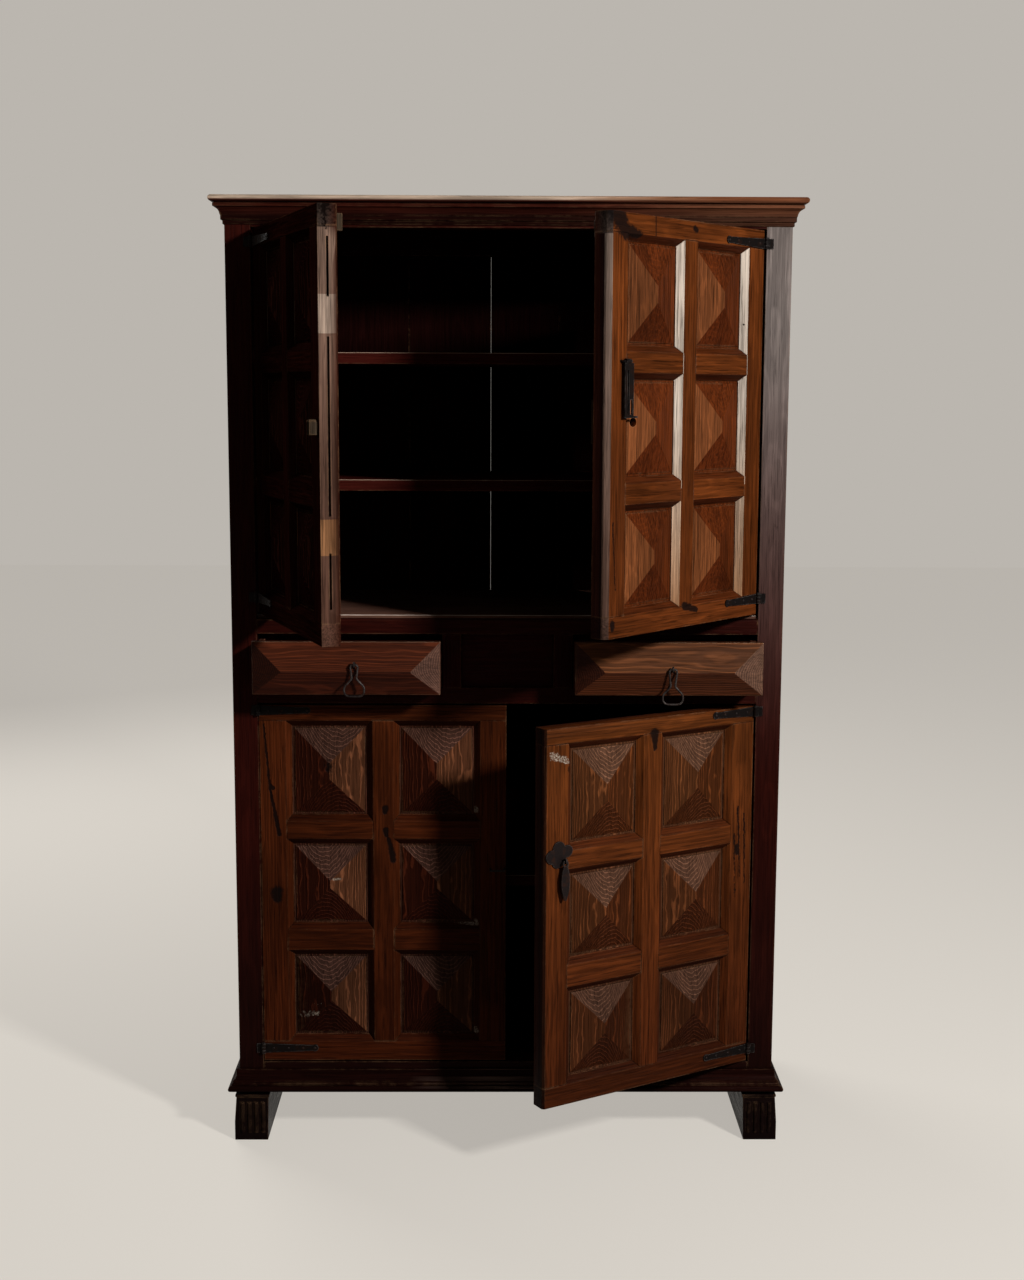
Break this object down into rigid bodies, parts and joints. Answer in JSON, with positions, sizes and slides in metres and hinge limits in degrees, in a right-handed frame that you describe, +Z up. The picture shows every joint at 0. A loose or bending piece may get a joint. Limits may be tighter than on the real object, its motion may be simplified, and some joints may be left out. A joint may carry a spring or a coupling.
{
  "type": "court cupboard",
  "caption": "Tall panelled press cupboard with doors above and below a row of drawers, raised diamond-point panels, moulded cornice, block feet and forged iron fittings.",
  "frame": {"origin": "on the floor, at the middle of the width, in the plane of the front stiles; with the doors open as stored this is the middle of the whole depth", "axes": "+Z up, -Y to the front where the doors open, +X to the right seen from the front"},
  "size_m": [1.15, 0.9388, 1.9],
  "materials": {
    "case_oak": "dark waxed oak, worn",
    "door_oak": "waxed oak, orange brown, worn arrises",
    "panel_oak": "waxed oak with open raised grain",
    "drawer_oak": "waxed oak, red brown",
    "moulding_oak": "waxed oak, polished arrises",
    "inner_oak": "dry unfinished oak, darkened by age",
    "foot_oak": "near black, worn",
    "forged_iron": "forged, dark, slightly burnished"
  },
  "bodies": {
    "case": {"back_boards": "inner_oak", "back_rails": "inner_oak", "back_stiles": "case_oak", "base_moulding": "moulding_oak", "base_returns": "moulding_oak", "centre_panel": "case_oak", "cornice": "moulding_oak", "cornice_returns": "moulding_oak", "drawer_kickers": "inner_oak", "drawer_posts": "case_oak", "drawer_runners": "inner_oak", "feet": "foot_oak", "front_rails": "case_oak", "front_stiles": "case_oak", "hinge_leaves": "forged_iron", "hinge_pins": "forged_iron", "lower_floor": "inner_oak", "shelf_bearers": "inner_oak", "shelves": "inner_oak", "side_panels": "case_oak", "side_rails": "case_oak", "top_board": "case_oak", "upper_floor": "inner_oak"},
    "left_drawer": {"left_drawer_back": "inner_oak", "left_drawer_bottom": "inner_oak", "left_drawer_cotter": "forged_iron", "left_drawer_front": "drawer_oak", "left_drawer_sides": "inner_oak"},
    "left_pull": {"left_drawer_pull": "forged_iron"},
    "lower_left_door": {"lower_left_door_panels": "panel_oak", "lower_left_door_rails": "door_oak", "lower_left_door_straps": "forged_iron", "lower_left_door_uprights": "door_oak", "lower_left_lock_staple": "forged_iron"},
    "lower_right_door": {"lower_right_door_panels": "panel_oak", "lower_right_door_rails": "door_oak", "lower_right_door_straps": "forged_iron", "lower_right_door_uprights": "door_oak", "lower_right_pull_cotter": "forged_iron", "lower_right_pull_plate": "forged_iron"},
    "drop": {"lower_right_pull_drop": "forged_iron"},
    "right_drawer": {"right_drawer_back": "inner_oak", "right_drawer_bottom": "inner_oak", "right_drawer_cotter": "forged_iron", "right_drawer_front": "drawer_oak", "right_drawer_sides": "inner_oak"},
    "right_pull": {"right_drawer_pull": "forged_iron"},
    "upper_left_door": {"upper_left_door_blocks": "inner_oak", "upper_left_door_panels": "panel_oak", "upper_left_door_rails": "door_oak", "upper_left_door_straps": "forged_iron", "upper_left_door_uprights": "door_oak"},
    "upper_right_door": {"upper_right_door_blocks": "inner_oak", "upper_right_door_panels": "panel_oak", "upper_right_door_rails": "door_oak", "upper_right_door_straps": "forged_iron", "upper_right_door_uprights": "door_oak", "upper_right_hasp_staple": "forged_iron"},
    "hasp": {"upper_right_hasp": "forged_iron"}
  },
  "joints": [
    {"name": "upper_left_door_hinge", "type": "hinge", "parent": "case", "child": "upper_left_door", "pos_m": [-0.4975, -0.005, 1.45], "axis": [0, 0, -1], "range_deg": [-70, 95]},
    {"name": "upper_right_door_hinge", "type": "hinge", "parent": "case", "child": "upper_right_door", "pos_m": [0.4975, -0.005, 1.45], "axis": [0, 0, 1], "range_deg": [-49.5, 115.5]},
    {"name": "lower_left_door_hinge", "type": "hinge", "parent": "case", "child": "lower_left_door", "pos_m": [-0.4975, -0.005, 0.5], "axis": [0, 0, -1], "range_deg": [0, 165]},
    {"name": "lower_right_door_hinge", "type": "hinge", "parent": "case", "child": "lower_right_door", "pos_m": [0.4975, -0.005, 0.5], "axis": [0, 0, 1], "range_deg": [-30.8, 134.2]},
    {"name": "left_drawer_slide", "type": "slide", "parent": "case", "child": "left_drawer", "axis": [0, -1, 0], "range_m": [-0.09, 0.21]},
    {"name": "left_pull_swing", "type": "hinge", "parent": "left_drawer", "child": "left_pull", "pos_m": [-0.297, -0.112, 1.0065], "axis": [-1, 0, 0], "range_deg": [0, 100]},
    {"name": "right_drawer_slide", "type": "slide", "parent": "case", "child": "right_drawer", "axis": [0, -1, 0], "range_m": [-0.092, 0.208]},
    {"name": "right_pull_swing", "type": "hinge", "parent": "right_drawer", "child": "right_pull", "pos_m": [0.3195, -0.114, 0.999], "axis": [-1, 0, 0], "range_deg": [0, 100]},
    {"name": "hasp_swing", "type": "hinge", "parent": "upper_right_door", "child": "hasp", "pos_m": [0.2065, -0.34957, 1.583], "axis": [-0.6494, -0.7604, 0], "range_deg": [0, 100]},
    {"name": "drop_swing", "type": "hinge", "parent": "lower_right_door", "child": "drop", "pos_m": [0.10889, -0.24365, 0.653], "axis": [-0.859, -0.512, 0], "range_deg": [0, 100]}
  ]
}
